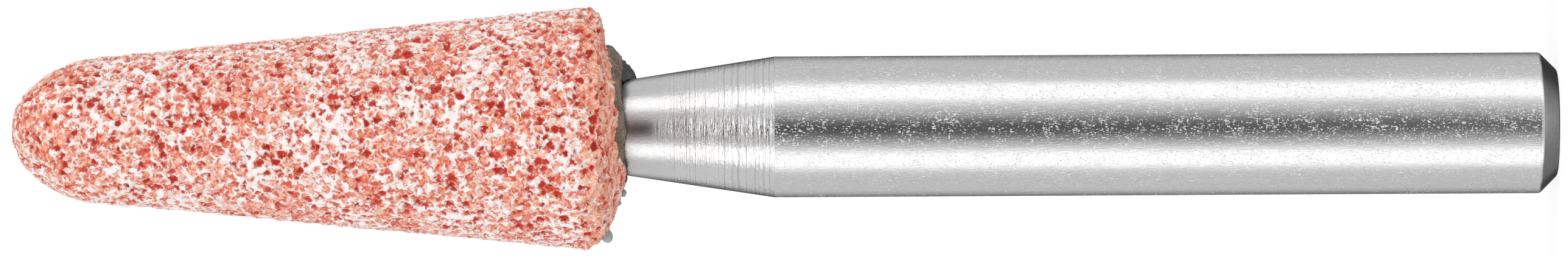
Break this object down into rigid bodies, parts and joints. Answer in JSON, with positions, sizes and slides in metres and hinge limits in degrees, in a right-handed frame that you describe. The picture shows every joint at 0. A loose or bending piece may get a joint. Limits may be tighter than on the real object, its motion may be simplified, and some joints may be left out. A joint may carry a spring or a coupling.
{
  "type": "mounted point",
  "caption": "Conical abrasive head with a rounded nose, cemented onto a turned steel shank with a tapered neck, for grinding in a rotary tool's collet.",
  "frame": {"origin": "centre of the shank's flat end face, on the tool axis", "axes": "+Z along the tool axis from the shank's end to the nose, +X towards the side where the cement collar is widest, +Y completing a right-handed frame"},
  "size_m": [0.0104, 0.0104, 0.0658],
  "materials": {
    "turned_steel": "turned and polished, with fine marks along and round the shank",
    "cement": "matt, lumpy, taupe with dark grey where it ran out",
    "pink_abrasive": "rough and porous, white dressed tops over pink grains with deep red pores"
  },
  "bodies": {
    "root": {"shank": "turned_steel", "cement_bond": "cement", "abrasive_head": "pink_abrasive"}
  },
  "joints": []
}
